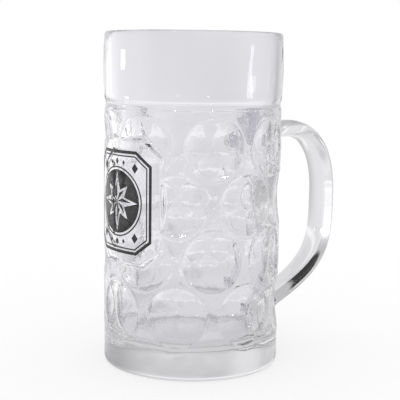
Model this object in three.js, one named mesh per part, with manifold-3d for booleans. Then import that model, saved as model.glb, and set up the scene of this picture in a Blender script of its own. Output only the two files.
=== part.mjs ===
// Glass beer stein in millimetres, +Z up, with the origin at the centre of the base.
// The handle stands on +X and the plain eight-sided panel faces -X.

import * as THREE from "three";
import { mergeVertices } from "three/addons/utils/BufferGeometryUtils.js";
import Module from "manifold-3d";

const wasm = await Module();
wasm.setup();

// Vessel
const BODY_RADIUS = 53.5;
const BODY_WALL = 6.4;
const BASE_THICKNESS = 14.5;
const BASE_ROUNDING = 2.5;
const FLOOR_CORNER = 10;
const INSIDE_DRAFT = 0.6;

// Stack of heights from the base up: plain base band, dimples, shoulder, neck groove, lip band
const BASE_BAND = 19.4;
const SHOULDER = 2.9;
const NECK_WIDTH = 5.6;
const BAND_HEIGHT = 39.6;

// Round lens dimples, staggered row by row
const COLUMNS = 8;
const ROWS = 4;
const ROW_PITCH = 32.3;
const DIMPLE_RADIUS = 17.8;
const DIMPLE_DEPTH = 3.6;
const DIMPLE_OVERRUN = 2.7;
const DIMPLE_CLEARANCE = 6;

// Shallow neck groove, and the plain, slightly barrelled lip band above it
const NECK_DEPTH = 0.7;
const BAND_BULGE = 0.65;
const LIP_WALL = 3;
const NECK_WALL = 4.3;
const NECK_TAPER = 8;

// Raised panel, centred on a dimple of its row
const PANEL_ROW = 2;
const PANEL_WIDTH = 65.6;
const PANEL_HEIGHT = 72;
const PANEL_CORNER_WIDTH = 13.2;
const PANEL_CORNER_HEIGHT = 10;
const PANEL_RISE = 0.3;
const PANEL_BEVEL = 3;

// Handle: a rounded strap, set on the wall at two feet
const HANDLE_WIDTH = 20;
const HANDLE_THICKNESS = 11;
const FINGER_ROOM = 49.1;
const GRIP_RISE = 16.9;
const TOP_FOOT_DROP = 17.6;
const TOP_FOOT_SLOPE = 0.3;
const TOP_ARM_PULL = 49.5;
const UPPER_GRIP_PULL = 17.1;
const LOWER_GRIP_PULL = 35.8;
const LOWER_FOOT_HEIGHT = 25.6;
const LOWER_FOOT_SLOPE = 0.38;
const LOWER_ARM_PULL = 60;
const FOOT_FLARE = 2.6;
const FLARE_LENGTH = 11;
const LOWER_TAIL = 3;
const FOOT_GAP = 0.3;
const SEAT_MARGIN = 1.5;

// Fineness of the curved faces
const WALL_SEGMENTS = 60;
const DIMPLE_SEGMENTS = 24;
const DIMPLE_RINGS = 3;
const ARC_STEPS = 4;
const BAND_STEPS = 4;
const PAD_RINGS = 5;
const PANEL_EDGE_STEPS = 3;
const SECTION_SEGMENTS = 16;
const HANDLE_STEPS = 16;
const SECTION_SQUARENESS = 2.2;

const GLASS = { color: 0xdfe3e6, roughness: 0.05, metalness: 0 };

const neckLow = BASE_BAND + 2 * DIMPLE_RADIUS + (ROWS - 1) * ROW_PITCH + SHOULDER;
const neckHigh = neckLow + NECK_WIDTH;
const height = neckHigh + BAND_HEIGHT;
const topFootHeight = neckLow - TOP_FOOT_DROP;
const innerRadius = BODY_RADIUS - BODY_WALL;
const panelHeading = Math.PI;
const handleHeading = 0;
const columnAngle = (2 * Math.PI) / COLUMNS;
const rowHeight = (row) => BASE_BAND + DIMPLE_RADIUS + row * ROW_PITCH;

// A closed manifold solid from any closed geometry
function solidFrom(geometry) {
  geometry.deleteAttribute("normal");
  geometry.deleteAttribute("uv");
  const merged = mergeVertices(geometry, 1e-4);
  return new wasm.Manifold(
    new wasm.Mesh({
      numProp: 3,
      vertProperties: Float32Array.from(merged.attributes.position.array),
      triVerts: Uint32Array.from(merged.index.array),
    }),
  );
}

function meshFrom(solid, name) {
  const { vertProperties, triVerts } = solid.getMesh();
  const geometry = new THREE.BufferGeometry();
  geometry.setAttribute("position", new THREE.BufferAttribute(vertProperties, 3));
  geometry.setIndex(new THREE.BufferAttribute(triVerts, 1));
  geometry.computeVertexNormals();
  const mesh = new THREE.Mesh(geometry, new THREE.MeshStandardMaterial(GLASS));
  mesh.name = name;
  return mesh;
}

// Rings of equal length joined in order, with a point closing each end
function closedLoft(firstPole, rings, lastPole) {
  const count = rings[0].length;
  const points = [firstPole, ...rings.flat(), lastPole];
  const last = points.length - 1;
  const index = [];
  for (let side = 0; side < count; side++) {
    const next = (side + 1) % count;
    index.push(0, 1 + next, 1 + side);
    for (let ring = 0; ring + 1 < rings.length; ring++) {
      const here = 1 + ring * count;
      const above = here + count;
      index.push(here + side, here + next, above + next, here + side, above + next, above + side);
    }
    const top = 1 + (rings.length - 1) * count;
    index.push(last, top + side, top + next);
  }
  const geometry = new THREE.BufferGeometry().setFromPoints(points);
  geometry.setIndex(index);
  return geometry;
}

// A profile of radius and height turned about the vessel's axis
function turned(profile) {
  return new THREE.LatheGeometry(profile, WALL_SEGMENTS).rotateX(Math.PI / 2);
}

// A point given by its arc along the wall from a heading, its height and its radius
function onWall(heading, arc, rise, radius) {
  const angle = heading + arc / BODY_RADIUS;
  return new THREE.Vector3(radius * Math.cos(angle), radius * Math.sin(angle), rise);
}

function arcPoints(centreR, centreZ, radius, from, to) {
  const points = [];
  for (let step = 0; step <= ARC_STEPS; step++) {
    const angle = from + ((to - from) * step) / ARC_STEPS;
    points.push(new THREE.Vector2(centreR + radius * Math.cos(angle), centreZ + radius * Math.sin(angle)));
  }
  return points;
}

// Outside up to the lip, then the inside down to the floor
function vesselProfile() {
  const lipRounding = LIP_WALL / 2;
  const lipCentre = height - lipRounding;
  const band = new THREE.QuadraticBezierCurve(
    new THREE.Vector2(BODY_RADIUS, neckHigh),
    new THREE.Vector2(BODY_RADIUS + 2 * BAND_BULGE, (neckHigh + lipCentre) / 2),
    new THREE.Vector2(BODY_RADIUS, lipCentre),
  );
  const neck = new THREE.QuadraticBezierCurve(
    new THREE.Vector2(BODY_RADIUS, neckLow),
    new THREE.Vector2(BODY_RADIUS - 2 * NECK_DEPTH, (neckLow + neckHigh) / 2),
    new THREE.Vector2(BODY_RADIUS, neckHigh),
  );
  const lip = arcPoints(BODY_RADIUS - lipRounding, lipCentre, lipRounding, 0, Math.PI);
  const floorRadius = innerRadius - INSIDE_DRAFT;
  return [
    new THREE.Vector2(0, 0),
    ...arcPoints(BODY_RADIUS - BASE_ROUNDING, BASE_ROUNDING, BASE_ROUNDING, -Math.PI / 2, 0),
    ...neck.getPoints(BAND_STEPS),
    ...band.getPoints(BAND_STEPS).slice(1, -1),
    ...lip,
    new THREE.Vector2(BODY_RADIUS - NECK_WALL, neckHigh),
    new THREE.Vector2(innerRadius, neckLow - NECK_TAPER),
    ...arcPoints(
      floorRadius - FLOOR_CORNER,
      BASE_THICKNESS + FLOOR_CORNER,
      FLOOR_CORNER,
      0,
      -Math.PI / 2,
    ),
    new THREE.Vector2(0, BASE_THICKNESS),
  ];
}

// The hollow of one dimple: its depth falls off with the square of the distance from its centre,
// and it runs out past the wall
function dimpleCutter(heading, centre) {
  const reach = 1 + DIMPLE_OVERRUN / DIMPLE_RADIUS;
  const ring = (share, radius) =>
    Array.from({ length: DIMPLE_SEGMENTS }, (_, side) => {
      const turn = (2 * Math.PI * side) / DIMPLE_SEGMENTS;
      const distance = share * DIMPLE_RADIUS;
      return onWall(heading, distance * Math.cos(turn), centre + distance * Math.sin(turn), radius);
    });
  const bowl = (share) => BODY_RADIUS - DIMPLE_DEPTH * (1 - share * share);
  const rings = [];
  for (let step = 1; step <= DIMPLE_RINGS; step++) {
    const share = (reach * step) / DIMPLE_RINGS;
    rings.push(ring(share, bowl(share)));
  }
  const outside = BODY_RADIUS + DIMPLE_CLEARANCE;
  rings.push(ring(reach, outside));
  return closedLoft(onWall(heading, 0, centre, bowl(0)), rings, onWall(heading, 0, centre, outside));
}

// A pad bent round the wall, with one outline at its inner radius and one at its outer radius
function bentPad(heading, centre, innerOutline, outerOutline, inside, outside) {
  const ring = (outline, share, radius) =>
    outline.map(([arc, rise]) => onWall(heading, share * arc, centre + share * rise, radius));
  const rings = [];
  for (let step = 1; step <= PAD_RINGS; step++) {
    rings.push(ring(innerOutline, step / PAD_RINGS, inside));
  }
  for (let step = PAD_RINGS; step >= 1; step--) {
    rings.push(ring(outerOutline, step / PAD_RINGS, outside));
  }
  return closedLoft(onWall(heading, 0, centre, inside), rings, onWall(heading, 0, centre, outside));
}

// The panel's eight-sided outline, with its long edges divided so that they follow the wall
function panelOutline(growth) {
  const halfWidth = PANEL_WIDTH / 2 + growth;
  const halfHeight = PANEL_HEIGHT / 2 + growth;
  const cornerArc = PANEL_WIDTH / 2 - PANEL_CORNER_WIDTH + growth / 2;
  const cornerRise = PANEL_HEIGHT / 2 - PANEL_CORNER_HEIGHT + growth / 2;
  const corners = [
    [halfWidth, -cornerRise],
    [halfWidth, cornerRise],
    [cornerArc, halfHeight],
    [-cornerArc, halfHeight],
    [-halfWidth, cornerRise],
    [-halfWidth, -cornerRise],
    [-cornerArc, -halfHeight],
    [cornerArc, -halfHeight],
  ];
  return corners.flatMap(([arc, rise], corner) => {
    const [nextArc, nextRise] = corners[(corner + 1) % corners.length];
    return Array.from({ length: PANEL_EDGE_STEPS }, (_, step) => [
      arc + ((nextArc - arc) * step) / PANEL_EDGE_STEPS,
      rise + ((nextRise - rise) * step) / PANEL_EDGE_STEPS,
    ]);
  });
}

function footOutline() {
  const halfWidth = HANDLE_WIDTH / 2 + FOOT_FLARE + SEAT_MARGIN;
  const halfHeight = HANDLE_THICKNESS / 2 + FOOT_FLARE + SEAT_MARGIN;
  return Array.from({ length: DIMPLE_SEGMENTS }, (_, side) => {
    const turn = (2 * Math.PI * side) / DIMPLE_SEGMENTS;
    return [halfWidth * Math.cos(turn), halfHeight * Math.sin(turn)];
  });
}

function steinBody() {
  const padInside = BODY_RADIUS - DIMPLE_DEPTH - (BODY_WALL - DIMPLE_DEPTH) / 2;
  let vessel = solidFrom(turned(vesselProfile()));
  for (let row = 0; row < ROWS; row++) {
    const stagger = ((row + PANEL_ROW) % 2) / 2;
    for (let column = 0; column < COLUMNS; column++) {
      const heading = (column + stagger) * columnAngle;
      const underLowerFoot = row === 0 && heading === handleHeading;
      if (!underLowerFoot) {
        vessel = vessel.subtract(solidFrom(dimpleCutter(heading, rowHeight(row))));
      }
    }
  }
  const panel = bentPad(
    panelHeading,
    rowHeight(PANEL_ROW),
    panelOutline(PANEL_BEVEL),
    panelOutline(0),
    padInside,
    BODY_RADIUS + PANEL_RISE,
  );
  const topSeat = bentPad(
    handleHeading,
    topFootHeight,
    footOutline(),
    footOutline(),
    padInside,
    BODY_RADIUS,
  );
  return vessel.add(solidFrom(panel)).add(solidFrom(topSeat));
}

// The strap's centre line from the top foot, over the grip, to the lower foot
function handleCurves() {
  const at = (x, z) => new THREE.Vector3(x, 0, z);
  const topFoot = at(BODY_RADIUS, topFootHeight);
  const grip = at(
    BODY_RADIUS + FINGER_ROOM + HANDLE_THICKNESS / 2,
    (topFootHeight + LOWER_FOOT_HEIGHT) / 2 + GRIP_RISE,
  );
  const lowerFoot = at(BODY_RADIUS, LOWER_FOOT_HEIGHT);
  const outAlong = (slope, pull) => at(pull * Math.cos(slope), pull * Math.sin(slope));
  return [
    new THREE.CubicBezierCurve3(
      topFoot,
      topFoot.clone().add(outAlong(TOP_FOOT_SLOPE, TOP_ARM_PULL)),
      grip.clone().add(at(0, UPPER_GRIP_PULL)),
      grip,
    ),
    new THREE.CubicBezierCurve3(
      grip,
      grip.clone().sub(at(0, LOWER_GRIP_PULL)),
      lowerFoot.clone().add(outAlong(LOWER_FOOT_SLOPE, LOWER_ARM_PULL)),
      lowerFoot,
    ),
  ];
}

function handleStrap() {
  const curves = handleCurves();
  const across = new THREE.Vector3(0, 1, 0);
  const stations = [];
  curves.forEach((curve, part) => {
    for (let step = part; step <= HANDLE_STEPS; step++) {
      const share = step / HANDLE_STEPS;
      stations.push({ place: curve.getPointAt(share), along: curve.getTangentAt(share) });
    }
  });
  const sink = BODY_WALL / 2;
  const first = stations[0];
  const last = stations[stations.length - 1];
  stations.unshift({ place: first.place.clone().addScaledVector(first.along, -sink), along: first.along });
  stations.push({ place: last.place.clone().addScaledVector(last.along, sink), along: last.along });
  const roundness = 2 / SECTION_SQUARENESS;
  const rounded = (value) => Math.sign(value) * Math.abs(value) ** roundness;
  const nearness = (place, foot) => Math.max(0, 1 - place.distanceTo(foot) / FLARE_LENGTH) ** 2;
  const rings = stations.map(({ place, along }) => {
    const outward = new THREE.Vector3().crossVectors(across, along).normalize();
    const low = nearness(place, last.place);
    const flare = FOOT_FLARE * (nearness(place, first.place) + low);
    return Array.from({ length: SECTION_SEGMENTS }, (_, side) => {
      const turn = (2 * Math.PI * side) / SECTION_SEGMENTS;
      const outer = rounded(Math.cos(turn));
      const tail = outer > 0 ? LOWER_TAIL * low : 0;
      return place
        .clone()
        .addScaledVector(outward, outer * (HANDLE_THICKNESS / 2 + flare + tail))
        .addScaledVector(across, rounded(Math.sin(turn)) * (HANDLE_WIDTH / 2 + flare));
    });
  });
  return closedLoft(stations[0].place, rings, stations[stations.length - 1].place);
}

// The strap with both ends cut to the wall, a small gap away from it
function handle() {
  const wallRadius = BODY_RADIUS + FOOT_GAP;
  const wall = turned([
    new THREE.Vector2(0, 0),
    new THREE.Vector2(wallRadius, 0),
    new THREE.Vector2(wallRadius, height),
    new THREE.Vector2(0, height),
  ]);
  return solidFrom(handleStrap()).subtract(solidFrom(wall));
}

const stein = new THREE.Group();
stein.add(meshFrom(steinBody(), "stein_body"));
stein.add(meshFrom(handle(), "handle"));

export default stein;
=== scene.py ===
import math
import bpy
import numpy as np
from mathutils import Matrix, Vector


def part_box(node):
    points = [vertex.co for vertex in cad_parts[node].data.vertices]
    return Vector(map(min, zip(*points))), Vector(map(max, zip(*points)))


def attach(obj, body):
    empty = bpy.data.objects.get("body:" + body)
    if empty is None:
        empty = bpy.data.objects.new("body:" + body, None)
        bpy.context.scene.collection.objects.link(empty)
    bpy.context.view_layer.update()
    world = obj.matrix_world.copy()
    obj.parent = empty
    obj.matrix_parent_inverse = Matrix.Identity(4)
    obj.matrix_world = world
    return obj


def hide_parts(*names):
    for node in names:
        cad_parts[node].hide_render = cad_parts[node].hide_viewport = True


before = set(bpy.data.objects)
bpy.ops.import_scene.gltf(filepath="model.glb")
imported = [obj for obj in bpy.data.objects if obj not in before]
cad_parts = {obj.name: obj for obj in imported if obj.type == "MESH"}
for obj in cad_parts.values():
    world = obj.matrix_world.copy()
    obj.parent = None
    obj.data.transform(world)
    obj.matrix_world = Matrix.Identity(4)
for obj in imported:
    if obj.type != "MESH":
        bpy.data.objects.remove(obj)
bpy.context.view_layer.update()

mm = 0.001
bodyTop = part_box("stein_body")[1].z

# All shapes are worked out in millimetres: z up, handle on +X, panel on -X.


# Small shape helpers

# quadratic bend from a to c pulled towards b, last point left out
def bend(a, b, c, count):
    t = np.linspace(0, 1, count, endpoint=False)[:, None]
    return (1 - t) ** 2 * np.array(a) + 2 * (1 - t) * t * np.array(b) + t ** 2 * np.array(c)


# cubic bend through a and d with handles b and c, last point left out
def pull(a, b, c, d, count):
    t = np.linspace(0, 1, count, endpoint=False)[:, None]
    ends = (1 - t) ** 3 * np.array(a) + t ** 3 * np.array(d)
    return ends + 3 * (1 - t) ** 2 * t * np.array(b) + 3 * (1 - t) * t ** 2 * np.array(c)


# straight run from a to b, last point left out
def run(a, b, count):
    t = np.linspace(0, 1, count, endpoint=False)[:, None]
    return np.array(a) + t * (np.array(b) - np.array(a))


# round run about a centre between two angles in quarter turns, last point left out
def rounding(centre, radius, start, end, count):
    t = np.linspace(start, end, count, endpoint=False) * math.pi / 2
    return np.array(centre) + radius * np.stack([np.cos(t), np.sin(t)], axis=1)


# evenly spaced points on a circle of radius 1
def circle(count):
    turn = np.linspace(0, 2 * math.pi, count, endpoint=False)
    return np.stack([np.cos(turn), np.sin(turn)], axis=1)


# larger of two values, with the crease between them rounded where they differ by less than the width
def softMax(a, b, width):
    share = np.clip(0.5 + 0.5 * (a - b) / width, 0, 1)
    return b + (a - b) * share + width * share * (1 - share)


# 0 below the start, 1 above the end, and an even S between
def ease(value, start, end):
    t = np.clip((value - start) / (end - start), 0, 1)
    return t * t * (3 - 2 * t)


# One piece from closed shells. A shell is a grid of points whose columns wrap round; its rows wrap too,
# or one point closes the first row and one the last.
def makePiece(name, shells, material):
    points, quads, triangles, count = [], [], [], 0
    for grid, poles in shells:
        rows, columns = grid.shape[:2]
        strips = np.arange(rows if poles is None else rows - 1)[:, None]
        across = np.arange(columns)[None, :]
        here, above = strips * columns + across, (strips + 1) % rows * columns + across
        beside = np.roll(here, -1, axis=1)
        corner = np.roll(above, -1, axis=1)
        quads.append(count + np.stack([here, beside, corner, above], axis=-1).reshape(-1, 4))
        points.append(grid.reshape(-1, 3))
        if poles is not None:
            ring = np.arange(columns)
            after = np.roll(ring, -1)
            last = (rows - 1) * columns
            pole = np.full(columns, rows * columns)
            triangles.append(count + np.stack([pole, after, ring], axis=1))
            triangles.append(count + np.stack([pole + 1, last + ring, last + after], axis=1))
            points.append(np.array(poles, float))
        count = sum(len(block) for block in points)
    points = np.concatenate(points) * mm
    fours = np.concatenate(quads)
    threes = np.concatenate(triangles) if triangles else np.zeros((0, 3), int)
    starts = np.concatenate([np.arange(len(fours)) * 4, len(fours) * 4 + np.arange(len(threes)) * 3])
    mesh = bpy.data.meshes.new(name)
    mesh.vertices.add(len(points))
    mesh.vertices.foreach_set("co", points.ravel())
    mesh.loops.add(fours.size + threes.size)
    mesh.loops.foreach_set("vertex_index", np.concatenate([fours.ravel(), threes.ravel()]))
    mesh.polygons.add(len(starts))
    mesh.polygons.foreach_set("loop_start", starts)
    mesh.materials.append(material)
    mesh.update(calc_edges=True)
    mesh.validate()
    mesh.shade_smooth()
    piece = bpy.data.objects.new(name, mesh)
    bpy.context.collection.objects.link(piece)
    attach(piece, "root")
    mesh.calc_loop_triangles()
    print(name, len(mesh.loop_triangles), "triangles")
    return piece


# Materials

glassLook = {
    "tint": (0.951, 0.945, 0.969, 1.0),
    "depthColour": (0.5, 0.5, 0.53, 1.0),  # what thick glass takes on
    "depthDensity": 1.2,
    "roughness": 0.0,
    "ior": 1.515,
    "ripple": 0.09,  # mm, height of the fine waves left by the mould; base and lip band have none
    "rippleSize": 3,  # mm between them
    "rippleFade": (-4, 6),  # mm from the top of the base band, between which they come in
    "handleTint": (0.962, 0.956, 0.976, 1.0),
    "handleRipple": (0.3, 0.01),  # mm at the feet, which are pressed on with a tool, and along the strap
    "footMarks": (2, 15),  # mm from the wall between which those marks fade
}


# Clear glass: a faint wave in the surface is its only pattern. Its height changes along one axis, evenly
# between stops of place and height in millimetres.
def clearGlass(name, tint, axis, stops):
    material = bpy.data.materials.new(name)
    material.use_nodes = True
    nodes, links = material.node_tree.nodes, material.node_tree.links
    shader = nodes["Principled BSDF"]
    shader.inputs["Base Color"].default_value = tint
    shader.inputs["Roughness"].default_value = glassLook["roughness"]
    shader.inputs["IOR"].default_value = glassLook["ior"]
    shader.inputs["Transmission Weight"].default_value = 1.0
    place = nodes.new("ShaderNodeTexCoord")
    wave = nodes.new("ShaderNodeTexNoise")
    wave.inputs["Scale"].default_value = 1 / (glassLook["rippleSize"] * mm)
    wave.inputs["Detail"].default_value = 1.0
    split = nodes.new("ShaderNodeSeparateXYZ")
    span = nodes.new("ShaderNodeMapRange")
    start, end = stops[0][0], stops[-1][0]
    span.inputs["From Min"].default_value = start * mm
    span.inputs["From Max"].default_value = end * mm
    change = nodes.new("ShaderNodeValToRGB")
    highest = max(height for spot, height in stops)
    ramp = change.color_ramp.elements  # a new ramp has two stops
    for k, (spot, height) in enumerate(stops):
        stop = ramp[k] if k < 2 else ramp.new(1.0)
        stop.position = (spot - start) / (end - start)
        stop.color = (height / highest, height / highest, height / highest, 1)
    tall = nodes.new("ShaderNodeMath")
    tall.operation = "MULTIPLY"
    tall.inputs[1].default_value = highest * mm
    bump = nodes.new("ShaderNodeBump")
    bump.inputs["Strength"].default_value = 1.0
    links.new(place.outputs["Object"], wave.inputs["Vector"])
    links.new(place.outputs["Object"], split.inputs["Vector"])
    links.new(split.outputs[axis], span.inputs["Value"])
    links.new(span.outputs["Result"], change.inputs["Fac"])
    links.new(change.outputs["Color"], tall.inputs[0])
    links.new(tall.outputs["Value"], bump.inputs["Distance"])
    links.new(wave.outputs["Fac"], bump.inputs["Height"])
    links.new(bump.outputs["Normal"], shader.inputs["Normal"])
    depth = nodes.new("ShaderNodeVolumeAbsorption")
    depth.inputs["Color"].default_value = glassLook["depthColour"]
    depth.inputs["Density"].default_value = glassLook["depthDensity"]
    links.new(depth.outputs["Volume"], nodes["Material Output"].inputs["Volume"])
    return material


enamelLook = {
    "light": (0.028, 0.027, 0.03, 1.0),
    "dark": (0.012, 0.012, 0.014, 1.0),
    "roughness": (0.3, 0.45),
    "grain": 0.9,  # mm between the specks of the fired ink
}


# Fired ink: charcoal that changes a little in shade and gloss from speck to speck.
def firedInk(name):
    material = bpy.data.materials.new(name)
    material.use_nodes = True
    nodes, links = material.node_tree.nodes, material.node_tree.links
    shader = nodes["Principled BSDF"]
    place = nodes.new("ShaderNodeTexCoord")
    speck = nodes.new("ShaderNodeTexNoise")
    speck.inputs["Scale"].default_value = 1 / (enamelLook["grain"] * mm)
    shade = nodes.new("ShaderNodeValToRGB")
    shade.color_ramp.elements[0].color = enamelLook["dark"]
    shade.color_ramp.elements[1].color = enamelLook["light"]
    gloss = nodes.new("ShaderNodeMapRange")
    gloss.inputs["To Min"].default_value = enamelLook["roughness"][0]
    gloss.inputs["To Max"].default_value = enamelLook["roughness"][1]
    links.new(place.outputs["Object"], speck.inputs["Vector"])
    links.new(speck.outputs["Fac"], shade.inputs["Fac"])
    links.new(speck.outputs["Fac"], gloss.inputs["Value"])
    links.new(shade.outputs["Color"], shader.inputs["Base Color"])
    links.new(gloss.outputs["Result"], shader.inputs["Roughness"])
    return material


# Vessel

vessel = {
    "radius": 53.5,  # wall between the dimples
    "wall": 6.4,
    "baseThickness": 14.5,
    "baseRounding": 2.5,
    "baseBand": 19.4,
    "insideDraft": 0.6,
    "floorCorner": 10.0,
    "floorMark": (35.6, 1.3, 0.3),  # plunger's ring on the inside floor: radius, half width and height
    "floorMiddle": 31.0,  # radius inside which the floor has wider rows
    "hub": 2.0,  # radius of the last row round the axis
    "shoulder": 2.9,
    "neckWidth": 5.6,
    "neckDepth": 0.7,
    "neckWall": 4.3,
    "neckTaper": 8.0,  # how far below the groove the bore narrows
    "neckSwell": 0.2,  # pull of the bend there
    "bandHeight": 39.6,
    "bandBulge": 0.65,
    "lipWall": 3.0,
    "patternMargin": (1.0, 1.6),  # from the base band down and from the neck down to the dimples' rows
    "columns": 360,
    "rows": {
        "underside": 4, "base edge": 6, "base band": 8, "dimples": 150, "shoulder": 3, "neck": 10,
        "lip band": 12, "lip": 10, "band inside": 6, "neck inside": 8, "bore": 34,
        "floor corner": 10, "floor rim": 8, "floor": 4,
    },
}
dimples = {
    "columns": 8,
    "rows": 4,
    "rowPitch": 32.3,
    "radius": 17.8,
    "depth": 3.6,
    "rimSoftness": 0.06,  # share of the depth over which the rim is rounded
    "ridge": 0.28,  # mm, bead of glass pushed up round every bowl
    "ridgeWidth": 0.8,
    "gatherWidth": 2.4,  # mm either side of a rim where the grid is drawn towards it
    "gather": 0.6,
}
panel = {
    "row": 2,
    "heading": math.pi,
    "width": 65.6,
    "height": 72.0,
    "cornerWidth": 13.2,
    "cornerHeight": 10.0,
    "rise": 0.3,
    "slope": 1.8,  # drop of the bevel for each millimetre out
    "edgeSoftness": 0.5,
    "bevel": 2.0,  # how far out the bead of the bowls comes back
    "apron": 6.0,  # how far out the slope may still show
}
unevenness = {
    "height": 0.03,  # mm, left by mould and plunger
    "count": 22,
    "turns": (8, 40),  # whole waves round the wall
    "pitch": (9, 46),  # mm from wave to wave up the wall
    "start": (0, 6.28),
    "fadeIn": 5.0,  # above the base's rounding
    "fadeOut": (1.0, 8.0),  # below the neck
    "boreFade": (26.0, 36.0),  # heights between which the bore's waves come in
    "wallSeed": 3,
    "boreSeed": 8,
}

rowHeight = [
    vessel["baseBand"] + dimples["radius"] + row * dimples["rowPitch"] for row in range(dimples["rows"])
]
neckLow = rowHeight[-1] + dimples["radius"] + vessel["shoulder"]
neckHigh = neckLow + vessel["neckWidth"]
lipHeight = neckHigh + vessel["bandHeight"]
assert abs(lipHeight * mm - bodyTop) < 0.5 * mm  # same height as the CAD body


# arc along the wall from a heading, wrapped to half a turn either way
def arcFrom(heading, angle):
    return vessel["radius"] * (np.mod(angle - heading + math.pi, 2 * math.pi) - math.pi)


# Every dimple's heading and height, but for the one under the handle's lower foot
def dimpleCentres():
    pitch = 2 * math.pi / dimples["columns"]
    for row, centre in enumerate(rowHeight):
        shift = 0.5 * ((row + panel["row"]) % 2)
        for column in range(dimples["columns"]):
            heading = (column + shift) * pitch
            if row > 0 or heading != handle["heading"]:
                yield heading, centre


# Below 1 inside the oval of the handle's top foot on the wall, above 1 outside it
def footOval(angle, height):
    halfWidth = handle["width"] / 2 + handle["footFlare"]
    halfHeight = handle["thickness"] / 2 + handle["footFlare"]
    return np.hypot(arcFrom(handle["heading"], angle) / halfWidth, (height - topFootHeight) / halfHeight)


# Relief of the outside wall over angle and height: every dimple is a bowl that loses depth with the
# square of the distance from its centre, with a bell-shaped bead along its rim; the panel is an eight-sided
# flat with sloping edges.
def wallRelief(angle, height):
    pastSide = np.abs(arcFrom(panel["heading"], angle)) - panel["width"] / 2
    pastTop = np.abs(height - rowHeight[panel["row"]]) - panel["height"] / 2
    wide, tall = panel["cornerWidth"], panel["cornerHeight"]
    pastCorner = (pastSide * tall + (pastTop + tall) * wide) / math.hypot(wide, tall)
    soft = panel["edgeSoftness"]
    outside = softMax(softMax(pastSide, pastTop, soft), pastCorner, soft)
    flat = panel["rise"] - panel["slope"] * softMax(outside, 0, soft)
    bowls, beads = np.zeros(outside.shape), np.zeros(outside.shape)
    for heading, centre in dimpleCentres():
        away = (arcFrom(heading, angle) ** 2 + (height - centre) ** 2) / dimples["radius"] ** 2
        bowls = bowls + dimples["depth"] * softMax(1 - away, 0, dimples["rimSoftness"])
        beside = (np.sqrt(away) - 1) * dimples["radius"] / dimples["ridgeWidth"]
        beads = beads + dimples["ridge"] * np.exp(-beside ** 2)
    relief = beads * ease(outside, 0, panel["bevel"]) - bowls
    relief = relief * ease(footOval(angle, height), 1.0, 1.0 + handle["seatBlend"] / handle["thickness"])
    return np.where(outside < panel["apron"], softMax(relief, flat, soft), relief)


# Grid over angle and height drawn in towards the rim of every dimple, so that the rims come out crisp:
# the distance from a rim shrinks by a share that fades to nothing at the width's end.
def gatherAtRims(angle, height):
    width, radius = dimples["gatherWidth"], dimples["radius"]
    for heading, centre in dimpleCentres():
        arc, lift = arcFrom(heading, angle), height - centre
        away = np.hypot(arc, lift)
        share = dimples["gather"] * ease(width - np.abs(away - radius), 0, width)
        move = -(away - radius) * share / np.maximum(away, 1)
        angle, height = angle + arc * move / vessel["radius"], height + lift * move
    return angle, height


# Unevenness of pressed glass over angle and height: a sum of sine waves, whole turns round the wall,
# each with its own direction and start.
def glassWaves(angle, height, seed):
    count = unevenness["count"]
    chance = np.random.default_rng(seed)
    turns = chance.integers(*unevenness["turns"], count)
    pitch = chance.uniform(*unevenness["pitch"], count)
    start = chance.uniform(*unevenness["start"], count)
    waves = np.zeros(angle.shape)
    for k in range(count):
        tilt = chance.choice([-1, 1]) * 2 * math.pi / pitch[k]
        waves = waves + np.sin(turns[k] * angle + tilt * height + start[k])
    return waves / math.sqrt(count)


# Half section of the vessel: out along the underside and up the outside, then over the lip, down the
# inside and in along the floor
def bodySection():
    rows, hub = vessel["rows"], vessel["hub"]
    radius, edge = vessel["radius"], vessel["baseRounding"]
    patternLow = vessel["baseBand"] - vessel["patternMargin"][0]
    patternHigh = neckLow - vessel["patternMargin"][1]
    groove = radius - 2 * vessel["neckDepth"]  # a bend reaches half way to its pull
    bulge = radius + 2 * vessel["bandBulge"]
    lipRound = vessel["lipWall"] / 2
    lipCentre = lipHeight - lipRound
    outside = np.concatenate([
        run((hub, 0), (radius - edge, 0), rows["underside"]),
        rounding((radius - edge, edge), edge, -1, 0, rows["base edge"]),
        run((radius, edge), (radius, patternLow), rows["base band"]),
        run((radius, patternLow), (radius, patternHigh), rows["dimples"]),
        run((radius, patternHigh), (radius, neckLow), rows["shoulder"]),
        bend((radius, neckLow), (groove, (neckLow + neckHigh) / 2), (radius, neckHigh), rows["neck"]),
        bend((radius, neckHigh), (bulge, (neckHigh + lipCentre) / 2), (radius, lipCentre), rows["lip band"]),
    ])
    bore, boreTop = radius - vessel["wall"], neckLow - vessel["neckTaper"]
    neck, swell = radius - vessel["neckWall"], vessel["neckSwell"]
    floor, corner = vessel["baseThickness"], vessel["floorCorner"]
    boreFoot = bore - vessel["insideDraft"]
    middle = vessel["floorMiddle"]
    inside = np.concatenate([
        rounding((radius - lipRound, lipCentre), lipRound, 0, 2, rows["lip"]),
        run((radius - vessel["lipWall"], lipCentre), (neck, neckHigh), rows["band inside"]),
        bend((neck, neckHigh), (neck - swell, neckLow), (bore, boreTop), rows["neck inside"]),
        run((bore, boreTop), (boreFoot, floor + corner), rows["bore"]),
        rounding((boreFoot - corner, floor + corner), corner, 0, -1, rows["floor corner"]),
        run((boreFoot - corner, floor), (middle, floor), rows["floor rim"]),
        run((middle, floor), (hub, floor), rows["floor"]),
    ])
    return outside, inside


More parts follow.
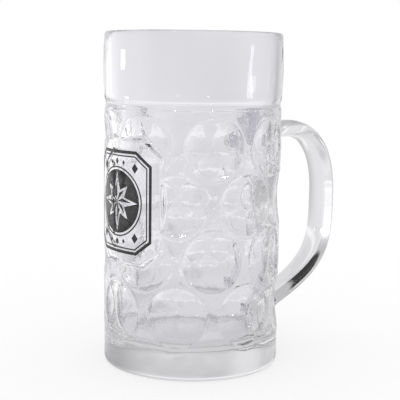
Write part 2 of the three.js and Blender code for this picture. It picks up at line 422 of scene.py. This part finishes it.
# Vessel: the half section turned about the axis, with a bell-shaped ring added to the inside floor, the
# relief to the outside wall and the unevenness to both sides of the wall
def makeBody():
    outside, inside = bodySection()
    section = np.concatenate([outside, inside])
    row, level = np.arange(len(section)), section[:, 1]
    floor, edge = vessel["baseThickness"], vessel["baseRounding"]
    boreLow = floor + vessel["floorCorner"]
    markRadius, markWidth, markHeight = vessel["floorMark"]
    onFloor = (row > len(outside)) & (level < boreLow)
    section[:, 1] += markHeight * onFloor * np.exp(-((section[:, 0] - markRadius) / markWidth) ** 2)

    columns = vessel["columns"]
    angle = np.tile(np.linspace(0, 2 * math.pi, columns, endpoint=False), (len(section), 1))
    reach = np.repeat(section[:, :1], columns, axis=1)
    height = np.repeat(section[:, 1:], columns, axis=1)
    wall = (row < len(outside)) & (level > edge) & (level < neckLow)
    bore = (row >= len(outside) + vessel["rows"]["lip"]) & (level > boreLow)
    angle[wall], height[wall] = gatherAtRims(angle[wall], height[wall])
    reach = reach + wall[:, None] * wallRelief(angle, height)

    onWall = wall * ease(level, edge, edge + unevenness["fadeIn"])
    onWall = onWall * ease(neckLow - level, *unevenness["fadeOut"])
    inBore = bore * ease(level, *unevenness["boreFade"])
    for share, seed in ((onWall, unevenness["wallSeed"]), (inBore, unevenness["boreSeed"])):
        reach = reach + unevenness["height"] * share[:, None] * glassWaves(angle, height, seed)
    grid = np.stack([reach * np.cos(angle), reach * np.sin(angle), height], axis=-1)
    return makePiece("glass_body", [(grid, [(0, 0, 0), (0, 0, floor)])], bodyGlass)


# Handle

handle = {
    "heading": 0.0,
    "width": 20.0,
    "thickness": 11.0,
    "squareness": 2.2,
    "fingerRoom": 49.1,
    "gripRise": 16.9,
    "topFootDrop": 17.6,
    "topFootSlope": 0.3,
    "topArmPull": 49.5,
    "upperGripPull": 17.1,
    "lowerGripPull": 35.8,
    "lowerFootHeight": 25.6,
    "lowerFootSlope": 0.38,
    "lowerArmPull": 60.0,
    "footFlare": 2.6,
    "flareLength": 13.0,
    "lowerTail": 3.0,
    "sunk": 0.1,  # how deep the ends sit in the wall, where the two are melted together
    "seatBlend": 4.0,  # how far round the top foot the dimples are melted full
    "steps": 80,
    "sides": 64,
    "footRings": 6,
    "smallestRing": 0.08,  # share of the foot's oval
}
topFootHeight = neckLow - handle["topFootDrop"]


# from a place on a circle to the like place on a rounded square
def squared(value):
    return np.sign(value) * np.abs(value) ** (2 / handle["squareness"])


# Handle: a rounded-square section carried along two cubic bends; near each end it widens and
# its ring closes onto an oval wrapped round the wall.
def makeHandle():
    radius, steps, tail = vessel["radius"], handle["steps"], handle["lowerTail"]
    thick, wide, flare = handle["thickness"] / 2, handle["width"] / 2, handle["footFlare"]
    seat = radius - handle["sunk"]
    lowFootHeight = handle["lowerFootHeight"]
    top, low = np.array([radius, topFootHeight]), np.array([radius, lowFootHeight])
    gripHeight = (topFootHeight + lowFootHeight) / 2 + handle["gripRise"]
    grip = np.array([radius + handle["fingerRoom"] + thick, gripHeight])
    topSlope, lowSlope = handle["topFootSlope"], handle["lowerFootSlope"]
    outTop = handle["topArmPull"] * np.array([math.cos(topSlope), math.sin(topSlope)])
    outLow = handle["lowerArmPull"] * np.array([math.cos(lowSlope), math.sin(lowSlope)])
    path = np.concatenate([
        pull(top, top + outTop, grip + (0, handle["upperGripPull"]), grip, steps),
        pull(grip, grip - (0, handle["lowerGripPull"]), low + outLow, low, steps),
        [low],
    ])
    along = np.gradient(path, axis=0)
    along /= np.linalg.norm(along, axis=1)[:, None]
    outward = np.stack([-along[:, 1], along[:, 0]], axis=1)
    turn = -np.linspace(0, 2 * math.pi, handle["sides"], endpoint=False)
    up, side = squared(np.cos(turn)), squared(np.sin(turn))
    strap = path[:, None, :] + thick * up[None, :, None] * outward[:, None, :]
    grid = np.stack([strap[..., 0], np.broadcast_to(wide * side, strap.shape[:2]), strap[..., 1]], axis=-1)

    # oval on the wall at a share of its size, top side up at the top foot and down at the lower one
    def footRing(centre, share, upward, longer):
        bearing = share * (wide + flare) * side / radius
        rise = share * (thick + flare + longer * (up * upward < 0)) * up * upward
        return np.stack([seat * np.cos(bearing), seat * np.sin(bearing), centre + rise], axis=-1)

    topRing = footRing(topFootHeight, 1, 1, 0)
    lowRing = footRing(lowFootHeight, 1, -1, tail)
    length = np.concatenate([[0], np.cumsum(np.linalg.norm(np.diff(path, axis=0), axis=1))])
    nearTop = np.clip(1 - length / handle["flareLength"], 0, 1)[:, None, None] ** 2
    nearLow = np.clip(1 - (length[-1] - length) / handle["flareLength"], 0, 1)[:, None, None] ** 2
    grid = grid * (1 - nearTop - nearLow) + nearTop * topRing + nearLow * lowRing
    shares = np.linspace(handle["smallestRing"], 1, handle["footRings"], endpoint=False)
    topCap = np.stack([footRing(topFootHeight, share, 1, 0) for share in shares])
    lowCap = np.stack([footRing(lowFootHeight, share, -1, tail) for share in shares[::-1]])
    grid = np.concatenate([topCap, grid, lowCap])
    poles = [(seat, 0, topFootHeight), (seat, 0, lowFootHeight)]
    return makePiece("glass_handle", [(grid, poles)], handleGlass)


# Print: two eight-sided lines round a dark disc with a clear eight-point star, every stroke a thin skin
# wrapped on the panel.
emblem = {
    "halfWidth": 27.0,
    "halfHeight": 30.0,
    "cornerWidth": 10.5,
    "cornerHeight": 8.0,
    "lines": ((0.0, 1.8), (2.8, 0.8)),  # inset and breadth of each border line
    "disc": 18.6,
    "points": (17.4, 13.6),  # reach of the long and the short points, four of each
    "notch": 7.4,
    "facet": 0.74,  # size of the dark half of each point
    "ring": (20.6, 0.9),  # radius and breadth of the ring round the disc
    "ringSteps": 72,
    "lozenges": ((0, 23.5, 1.7), (6.2, 22.9, 1.2), (15.4, 20.2, 2.3)),  # place and half width, on all sides
    "lozengeTall": 1.3,  # height for each millimetre of width
    "sunk": 0.02,
    "proud": 0.03,
    "steps": 14,
    "tip": 0.02,  # share of a stroke left to the point at each end
}


# from arc and height on the panel to a place on its face, at a depth under or over it
def onPanel(flat, over):
    reach = vessel["radius"] + panel["rise"] + over
    angle = panel["heading"] + flat[..., 0] / vessel["radius"]
    height = rowHeight[panel["row"]] + flat[..., 1]
    return np.stack([reach * np.cos(angle), reach * np.sin(angle), height], axis=-1)


# skin between two flat edges of equally many points, as four wrapped columns
def skin(left, right):
    over, under = emblem["proud"], -emblem["sunk"]
    face, back = (onPanel(left, over), onPanel(right, over)), (onPanel(right, under), onPanel(left, under))
    return np.stack(face + back, axis=1)


# outline through the corners and back to the first, with points added along the sides
def outline(corners, steps):
    return np.concatenate([run(a, b, steps) for a, b in zip(corners, np.roll(corners, -1, axis=0))])


# eight-sided border with each side moved in by the inset
def borderLine(inset):
    wide, tall = emblem["halfWidth"] - inset, emblem["halfHeight"] - inset
    lean = np.array([emblem["cornerHeight"], emblem["cornerWidth"]])
    lean = lean / np.linalg.norm(lean)
    limit = lean @ (emblem["halfWidth"], emblem["halfHeight"] - emblem["cornerHeight"]) - inset
    low, high = (limit - lean[0] * wide) / lean[1], (limit - lean[1] * tall) / lean[0]
    quarter = np.array([(wide, low), (high, tall)])
    flip = np.array([1, -1])
    corners = np.concatenate([quarter, -quarter[::-1] * flip, -quarter, quarter[::-1] * flip])
    return outline(corners, emblem["steps"])


# triangle from a to b with its side corner at c, as a skin that closes to a point at both ends
def wedge(a, b, c):
    a, b, c = np.array(a, float), np.array(b, float), np.array(c, float)
    split = (c - a) @ (b - a) / ((b - a) @ (b - a))
    t = np.union1d(np.linspace(emblem["tip"], 1 - emblem["tip"], emblem["steps"]), [split])[:, None]
    straight = a + (b - a) * t
    bent = np.where(t < split, a + (c - a) * t / split, c + (b - c) * (t - split) / (1 - split))
    turned = (b - a)[0] * (c - a)[1] - (b - a)[1] * (c - a)[0] > 0
    grid = skin(bent, straight) if turned else skin(straight, bent)
    return grid, [onPanel(a, 0), onPanel(b, 0)]


# dark disc round a clear star, with a dark half on each of the star's points
def starDisc():
    long, short = emblem["points"]
    reach = np.tile([long, emblem["notch"], short, emblem["notch"]], 4)
    corners = reach[:, None] * circle(len(reach))
    star = outline(corners, emblem["steps"] // 2)
    rim = star * emblem["disc"] / np.linalg.norm(star, axis=1)[:, None]
    halves = [
        wedge((0, 0), point * emblem["facet"], notch * emblem["facet"])
        for point, notch in zip(corners[::2], corners[1::2])
    ]
    return [(skin(star, rim), None)] + halves


# left and right half of a lozenge
def lozenge(middle, half):
    top = np.array((0, half * emblem["lozengeTall"]))
    return [wedge(middle - top, middle + top, middle + (side, 0)) for side in (-half, half)]


def makeEmblem():
    shells = []
    for inset, breadth in emblem["lines"]:
        shells.append((skin(borderLine(inset + breadth), borderLine(inset)), None))
    radius, breadth = emblem["ring"]
    ring = circle(emblem["ringSteps"])
    shells.append((skin(ring * (radius - breadth), ring * radius), None))
    shells += starDisc()
    for x, z, half in emblem["lozenges"]:
        for place in sorted({(x, z), (-x, z), (x, -z), (-x, -z)}):
            shells += lozenge(np.array(place, float), half)
    return makePiece("panel_print", shells, enamel)


ripple = glassLook["ripple"]
rippleLow, rippleFull = (vessel["baseBand"] + away for away in glassLook["rippleFade"])
mouldMarks = [(rippleLow, 0), (rippleFull, ripple), (neckLow, ripple), (neckHigh, 0)]
bodyGlass = clearGlass("pressed glass", glassLook["tint"], "Z", mouldMarks)
toolPlaces = [vessel["radius"] + away for away in glassLook["footMarks"]]
toolMarks = list(zip(toolPlaces, glassLook["handleRipple"]))
handleGlass = clearGlass("drawn glass", glassLook["handleTint"], "X", toolMarks)
enamel = firedInk("fired ink")
print("glass ready")

bodyPiece = makeBody()
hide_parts("stein_body")
handlePiece = makeHandle()
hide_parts("handle")
makeEmblem()

# Studio, in metres and watts

studio = {
    "floorHalf": 4.0,
    "floorDrop": 0.0001,
    "floorGlow": 0.7,
    "floorColour": 0.3,
    "bounces": 48,  # light runs a long way inside thick glass
    "soft": 0.8,  # share of a spot's half width over which it fades, unless it has its own
    # what the glass sees round it: bearing from the camera and height in degrees; a glow of 1 is white
    "dome": {
        "reach": 3.0,
        "steps": (181, 90),  # round and up
        "top": 89,
        "white": 0.815,  # walls
        "ceiling": 0.54,
        "ceilingFade": (5, 28),  # heights between which the walls go over to the ceiling
        "sides": {
            "left window": {"at": (-108, 5), "half": (74, 13), "glow": 0.42},
            "left wall": {"at": (-150, 21), "half": (17, 9), "glow": 0.2},
            "black flag": {"at": (-131, 57), "half": (23, 31), "glow": -0.54, "soft": 0.3},
            "right flag": {"at": (34, -2), "half": (62, 21), "glow": -0.58},
            "right wall": {"at": (121, 6), "half": (48, 30), "glow": -0.29},
            "back window": {"at": (178, 12), "half": (40, 6), "glow": 0.24},
            "front box": {"at": (31, 20), "half": (85, 30), "glow": 0.36},
        },
    },
    # the same for the floor, by bearing in degrees and distance from the stein's axis
    "sheet": {
        "steps": 241,
        "first": 0.001,  # share of the reach where the sheet starts, before crowding
        "crowding": 3,  # power that draws the rows in towards the stein
        "under": 0.66,  # shaded floor under the base
        "underFade": (0.045, 0.08),
        "near": 0.77,  # floor near the stein
        "farFade": (0.2, 0.9),  # from there to the light of the room's sides
        "patches": {
            "bright strip": {"at": (180, 0.4), "half": (400, 0.07), "glow": 0.2},
            "contact shade": {"at": (0, 0.055), "half": (600, 0.01), "glow": -0.18},
            "right shade": {"at": (95, 0.22), "half": (45, 0.2), "glow": -0.2},
            "left shade": {"at": (-152, 0.16), "half": (30, 0.09), "glow": -0.15},
            "left shine": {"at": (-124, 0.2), "half": (24, 0.14), "glow": 0.1},
        },
    },
    "lamps": {
        "left lamp": {"bearing": -97, "away": 1.0, "height": 0.2, "size": (0.16, 0.08), "power": 0.17},
        "front left lamp": {"bearing": -24, "away": 0.9, "height": 0.78, "size": (0.06, 0.06), "power": 0.25},
        "front right lamp": {"bearing": 25, "away": 0.9, "height": 0.78, "size": (0.06, 0.06), "power": 0.25},
    },
}
shot = {
    "bearing": -126.0,  # degrees, where the camera stands, counted from +X
    "away": 605.4,  # mm
    "height": 183.2,  # mm
    "tilt": 7.964,
    "yaw": 0.464,
    "roll": 0.75,
    "lens": 89.57,
    "sensor": 36,
}


# level direction at a bearing
def compass(bearing):
    turn = math.radians(bearing)
    return Vector((math.cos(turn), math.sin(turn), 0))


# stage piece of a few faces, with its own material
def makeStage(name, points, faces, material):
    mesh = bpy.data.meshes.new(name)
    mesh.from_pydata(points, [], faces)
    mesh.materials.append(material)
    item = bpy.data.objects.new(name, mesh)
    bpy.context.collection.objects.link(item)
    return item


# White floor: part of its white is its own, for the camera and the glass, so only a soft shadow stays.
def makeFloor():
    material = bpy.data.materials.new("white floor")
    material.use_nodes = True
    nodes, links = material.node_tree.nodes, material.node_tree.links
    nodes.remove(nodes["Principled BSDF"])
    shade = nodes.new("ShaderNodeBsdfDiffuse")
    colour = studio["floorColour"]
    shade.inputs["Color"].default_value = (colour, colour, colour, 1)
    path = nodes.new("ShaderNodeLightPath")
    seen = nodes.new("ShaderNodeMath")
    seen.operation = "MAXIMUM"
    glassSeen = nodes.new("ShaderNodeMath")
    glassSeen.operation = "MAXIMUM"
    glow = nodes.new("ShaderNodeMath")
    glow.operation = "MULTIPLY"
    glow.inputs[1].default_value = studio["floorGlow"]
    white = nodes.new("ShaderNodeEmission")
    both = nodes.new("ShaderNodeAddShader")
    links.new(path.outputs["Is Glossy Ray"], glassSeen.inputs[0])
    links.new(path.outputs["Is Transmission Ray"], glassSeen.inputs[1])
    links.new(path.outputs["Is Camera Ray"], seen.inputs[0])
    links.new(glassSeen.outputs["Value"], seen.inputs[1])
    links.new(seen.outputs["Value"], glow.inputs[0])
    links.new(glow.outputs["Value"], white.inputs["Strength"])
    links.new(shade.outputs["BSDF"], both.inputs[0])
    links.new(white.outputs["Emission"], both.inputs[1])
    links.new(both.outputs["Shader"], nodes["Material Output"].inputs["Surface"])
    half, drop = studio["floorHalf"], studio["floorDrop"]
    corners = [(-half, -half, -drop), (half, -half, -drop), (half, half, -drop), (-half, half, -drop)]
    makeStage("floor", corners, [(0, 1, 2, 3)], material)


# Soft light that each point of a sheet gives off by itself, which only the glass sees.
def makeGlow(name, grid, glow):
    material = bpy.data.materials.new(name)
    material.use_nodes = True
    nodes, links = material.node_tree.nodes, material.node_tree.links
    nodes.remove(nodes["Principled BSDF"])
    own = nodes.new("ShaderNodeAttribute")
    own.attribute_name = "glow"
    light = nodes.new("ShaderNodeEmission")
    links.new(own.outputs["Fac"], light.inputs["Strength"])
    links.new(light.outputs["Emission"], nodes["Material Output"].inputs["Surface"])
    rows, columns = glow.shape
    corner = (np.arange(rows - 1)[:, None] * columns + np.arange(columns - 1)[None, :]).ravel()
    faces = np.stack([corner, corner + 1, corner + columns + 1, corner + columns], axis=1)
    sheet = makeStage(name, grid.reshape(-1, 3).tolist(), faces.tolist(), material)
    values = sheet.data.attributes.new("glow", "FLOAT", "POINT")
    values.data.foreach_set("value", np.maximum(glow, 0).ravel())
    sheet.visible_camera = False
    sheet.visible_diffuse = False


# Light that each of several spots adds or takes away over bearing and a second measure: it fades with the
# distance from the spot's middle.
def spotGlow(spots, bearing, other):
    glow = 0
    for spot in spots.values():
        across = np.abs(np.mod(bearing - spot["at"][0] + 180, 360) - 180) / spot["half"][0]
        beyond = np.abs(other - spot["at"][1]) / spot["half"][1]
        soft = spot.get("soft", studio["soft"])
        glow = glow + spot["glow"] * ease(1 - across, 0, soft) * ease(1 - beyond, 0, soft)
    return glow


# Dome: a half ball over the stein whose walls go over to a grey ceiling, and a round sheet on the floor that
# goes over from the shade under the base to the floor near the stein and then to the dome's foot.
def makeDome():
    dome, sheet = studio["dome"], studio["sheet"]
    bearings = np.linspace(-180, 180, dome["steps"][0])
    bearing, height = np.meshgrid(bearings, np.linspace(0, dome["top"], dome["steps"][1]))
    turn, lift = np.radians(bearing + shot["bearing"]), np.radians(height)
    flat = dome["reach"] * np.cos(lift)
    ball = np.stack([flat * np.cos(turn), flat * np.sin(turn), dome["reach"] * np.sin(lift)], axis=-1)
    glow = dome["white"] + (dome["ceiling"] - dome["white"]) * ease(height, *dome["ceilingFade"])
    glow = glow + spotGlow(dome["sides"], bearing, height)
    makeGlow("dome", ball, glow)
    bearing, share = np.meshgrid(bearings, np.linspace(sheet["first"], 1, sheet["steps"]))
    turn, reach = np.radians(bearing + shot["bearing"]), dome["reach"] * share ** sheet["crowding"]
    level = np.full_like(reach, -studio["floorDrop"] / 2)
    ground = np.stack([reach * np.cos(turn), reach * np.sin(turn), level], axis=-1)
    near = sheet["under"] + (sheet["near"] - sheet["under"]) * ease(reach, *sheet["underFade"])
    near = near + spotGlow(sheet["patches"], bearing, reach)
    far = (glow[0] - sheet["near"]) * ease(reach, *sheet["farFade"])
    makeGlow("floor sheet", ground, near + far)


# small lamp turned to the middle of the stein
def makeLamp(name, facts):
    light = bpy.data.lights.new(name, "AREA")
    light.shape = "RECTANGLE"
    light.size, light.size_y = facts["size"]
    light.energy = facts["power"]
    lamp = bpy.data.objects.new(name, light)
    lamp.visible_camera = False
    lamp.location = compass(shot["bearing"] + facts["bearing"]) * facts["away"]
    lamp.location.z = facts["height"]
    aim = Vector((0, 0, lipHeight * mm / 2)) - lamp.location
    lamp.rotation_euler = aim.to_track_quat("-Z", "Y").to_euler()
    bpy.context.collection.objects.link(lamp)


def makeWorld():
    world = bpy.data.worlds.new("white studio")
    world.use_nodes = True
    bpy.context.scene.world = world
    sky = world.node_tree.nodes["Background"]
    sky.inputs["Color"].default_value = (1, 1, 1, 1)
    sky.inputs["Strength"].default_value = 1.0


def makeCamera():
    data = bpy.data.cameras.new("shot")
    data.lens = shot["lens"]
    data.sensor_width = shot["sensor"]
    camera = bpy.data.objects.new("shot", data)
    place = compass(shot["bearing"]) * shot["away"] * mm
    place.z = shot["height"] * mm
    ahead = compass(shot["bearing"] + 180 - shot["yaw"])
    right = ahead.cross(Vector((0, 0, 1)))
    tilt = math.radians(shot["tilt"])
    look = ahead * math.cos(tilt) - Vector((0, 0, 1)) * math.sin(tilt)
    up = right.cross(look)
    roll = math.radians(shot["roll"])
    sideways = right * math.cos(roll) + up * math.sin(roll)
    upright = up * math.cos(roll) - right * math.sin(roll)
    turn = Matrix((sideways, upright, -look)).transposed().to_4x4()
    camera.matrix_world = Matrix.Translation(place) @ turn
    bpy.context.collection.objects.link(camera)
    bpy.context.scene.camera = camera


makeFloor()
makeDome()
for name, facts in studio["lamps"].items():
    makeLamp(name, facts)
makeWorld()
makeCamera()
paths = bpy.context.scene.cycles
paths.max_bounces = paths.transmission_bounces = paths.glossy_bounces = studio["bounces"]
bpy.context.scene.view_settings.view_transform = "Standard"
print("studio ready")
